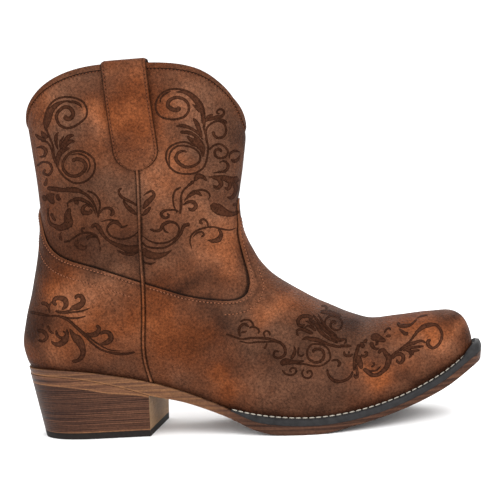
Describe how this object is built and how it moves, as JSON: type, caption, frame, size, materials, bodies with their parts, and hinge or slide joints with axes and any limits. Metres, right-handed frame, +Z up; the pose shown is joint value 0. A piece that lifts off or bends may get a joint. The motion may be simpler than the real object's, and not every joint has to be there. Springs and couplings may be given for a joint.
{
  "type": "western ankle boot",
  "caption": "Western ankle boot for the right foot with pull straps, dipped collar, piped side seams, snip toe, welted leather sole and stacked block heel.",
  "frame": {"origin": "on the floor, under the middle of the boot's box", "axes": "+X towards the toe, +Y towards the inner side of the foot, +Z up"},
  "size_m": [0.2804, 0.0942, 0.226],
  "materials": {
    "shaft_leather": "burnished, tooled",
    "foot_leather": "burnished, tooled",
    "trim_leather": "burnished",
    "welt": "dyed, semi-matt",
    "sole_leather": "waxed edge",
    "stacked_leather": "waxed edge",
    "top_lift": "matt",
    "insole": "matt"
  },
  "bodies": {
    "root": {"upper": "shaft_leather", "vamp": "foot_leather", "counter": "foot_leather", "side_piping_outer": "trim_leather", "side_piping_inner": "trim_leather", "pull_strap_outer": "trim_leather", "pull_strap_inner": "trim_leather", "collar_binding": "trim_leather", "welt": "welt", "outsole": "sole_leather", "heel_seat_lift": "stacked_leather", "heel_block": "stacked_leather", "heel_top_lift": "top_lift", "insole": "insole"}
  },
  "joints": []
}
